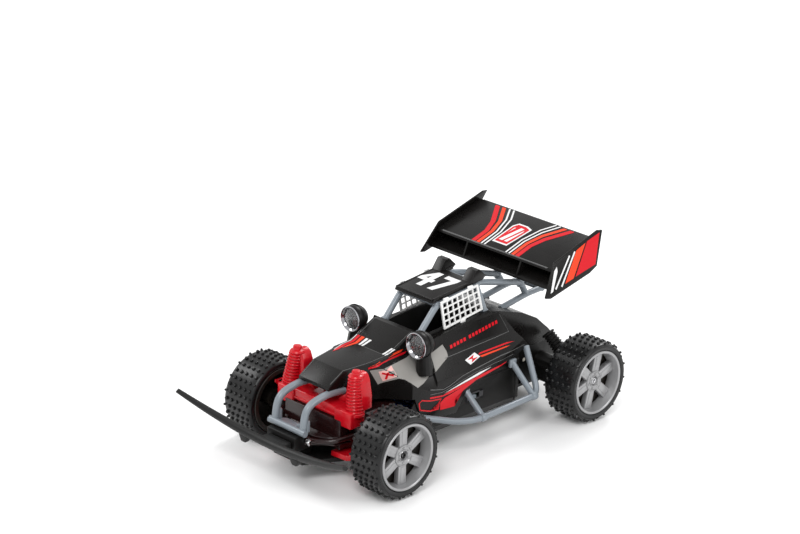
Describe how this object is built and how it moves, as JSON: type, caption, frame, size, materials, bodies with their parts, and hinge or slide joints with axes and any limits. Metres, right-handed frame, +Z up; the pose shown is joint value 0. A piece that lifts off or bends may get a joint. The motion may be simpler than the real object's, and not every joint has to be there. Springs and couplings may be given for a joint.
{
  "type": "remote control car",
  "caption": "Off-road buggy toy with studded tyres, steered front wheels, geared rear axle, roll cage, headlamps, nose cage, bumper, side guards and a tall rear wing.",
  "frame": {"origin": "on the ground under the middle of the car's box", "axes": "+X to the car's left side, +Y to its tail (it drives towards -Y), +Z up"},
  "size_m": [0.1686, 0.2906, 0.137],
  "materials": {
    "black_plastic": "satin moulded plastic, near black",
    "tyre_rubber": "black studded rubber",
    "red_plastic": "glossy moulded plastic, bright red",
    "tube_grey": "satin moulded plastic, blue grey",
    "rim_grey": "satin silver grey moulded plastic",
    "steel": "bright steel",
    "chrome": "vacuum plated chrome",
    "net_white": "satin moulded plastic, white",
    "clear_lens": "clear moulded lens",
    "nylon": "natural nylon",
    "battery_wrap": "shrink wrap over cells, blue",
    "circuit_green": "green circuit board"
  },
  "bodies": {
    "chassis": {"chassis_tub": "black_plastic", "steering_cover": "black_plastic", "servo_case": "black_plastic", "bumper_mount": "black_plastic", "front_bumper": "black_plastic", "gearbox_left": "black_plastic", "gearbox_right": "black_plastic", "rear_shock_left": "black_plastic", "rear_shock_right": "black_plastic", "body_shell": "black_plastic", "cockpit_tray": "black_plastic", "engine_cover": "black_plastic", "roof_panel": "black_plastic", "headlamp_housing_left": "black_plastic", "headlamp_housing_right": "black_plastic", "wing_blade": "black_plastic", "wing_end_plate_left": "black_plastic", "wing_end_plate_right": "black_plastic", "battery_pack": "battery_wrap", "circuit_board": "circuit_green", "nose_cage": "tube_grey", "side_guard_left": "tube_grey", "side_guard_right": "tube_grey", "roll_cage": "tube_grey", "kingpin_left": "steel", "kingpin_right": "steel", "drive_motor": "steel", "lower_arm_left": "red_plastic", "lower_arm_right": "red_plastic", "front_shock_tower": "red_plastic", "window_net_left": "net_white", "window_net_right": "net_white", "headlamp_reflector_left": "chrome", "headlamp_reflector_right": "chrome", "headlamp_lens_left": "clear_lens", "headlamp_lens_right": "clear_lens"},
    "tie_bar": {"tie_bar": "black_plastic"},
    "servo_arm": {"servo_arm": "nylon"},
    "knuckle_left": {"knuckle_left": "black_plastic"},
    "knuckle_right": {"knuckle_right": "black_plastic"},
    "wheel_front_left": {"rim_front_left": "rim_grey", "tyre_front_left": "tyre_rubber", "wheel_screw_front_left": "steel"},
    "wheel_front_right": {"rim_front_right": "rim_grey", "tyre_front_right": "tyre_rubber", "wheel_screw_front_right": "steel"},
    "rear_axle": {"rear_axle": "steel", "axle_gear": "nylon", "rim_rear_left": "rim_grey", "tyre_rear_left": "tyre_rubber", "wheel_screw_rear_left": "steel", "rim_rear_right": "rim_grey", "tyre_rear_right": "tyre_rubber", "wheel_screw_rear_right": "steel"},
    "idler_gear": {"idler_gear": "nylon"},
    "motor_pinion": {"motor_pinion": "nylon"},
    "power_switch": {"power_switch": "tube_grey"},
    "battery_door": {"battery_door": "black_plastic", "battery_door_screw": "steel"}
  },
  "joints": [
    {"name": "steering_slide", "type": "slide", "parent": "chassis", "child": "tie_bar", "axis": [1, 0, 0], "range_m": [-0.00478, 0.00478]},
    {"name": "steer_left", "type": "hinge", "parent": "chassis", "child": "knuckle_left", "pos_m": [0.046, -0.07694, 0.0302], "axis": [0, 0, 1], "range_deg": [-20, 20]},
    {"name": "steer_right", "type": "hinge", "parent": "chassis", "child": "knuckle_right", "pos_m": [-0.046, -0.07694, 0.0302], "axis": [0, 0, 1], "range_deg": [-20, 20]},
    {"name": "servo_turn", "type": "hinge", "parent": "chassis", "child": "servo_arm", "pos_m": [0, -0.04894, 0.0374], "axis": [0, 0, 1], "range_deg": [-20, 20]},
    {"name": "front_left_spin", "type": "hinge", "parent": "knuckle_left", "child": "wheel_front_left", "pos_m": [0.0623, -0.07694, 0.0302], "axis": [1, 0, 0], "continuous": true},
    {"name": "front_right_spin", "type": "hinge", "parent": "knuckle_right", "child": "wheel_front_right", "pos_m": [-0.0623, -0.07694, 0.0302], "axis": [1, 0, 0], "continuous": true},
    {"name": "rear_axle_spin", "type": "hinge", "parent": "chassis", "child": "rear_axle", "pos_m": [0, 0.11506, 0.0302], "axis": [1, 0, 0], "continuous": true},
    {"name": "idler_spin", "type": "hinge", "parent": "chassis", "child": "idler_gear", "pos_m": [0.011, 0.09781, 0.03482], "axis": [1, 0, 0], "continuous": true},
    {"name": "pinion_spin", "type": "hinge", "parent": "chassis", "child": "motor_pinion", "pos_m": [0.007, 0.08212, 0.03703], "axis": [1, 0, 0], "continuous": true},
    {"name": "switch_slide", "type": "slide", "parent": "chassis", "child": "power_switch", "axis": [0, 1, 0], "range_m": [0, 0.004]},
    {"name": "battery_door_hinge", "type": "hinge", "parent": "chassis", "child": "battery_door", "pos_m": [0, 0.03256, 0.0127], "axis": [1, 0, 0], "range_deg": [0, 85]}
  ],
  "couplings": [
    {"joint": "steer_left", "follows": "steering_slide", "rad_per_m": -72.9},
    {"joint": "steer_right", "follows": "steering_slide", "rad_per_m": -72.9},
    {"joint": "servo_turn", "follows": "steering_slide", "rad_per_m": 72.9},
    {"joint": "idler_spin", "follows": "rear_axle_spin", "ratio": -3.4},
    {"joint": "pinion_spin", "follows": "rear_axle_spin", "ratio": 11.333}
  ]
}
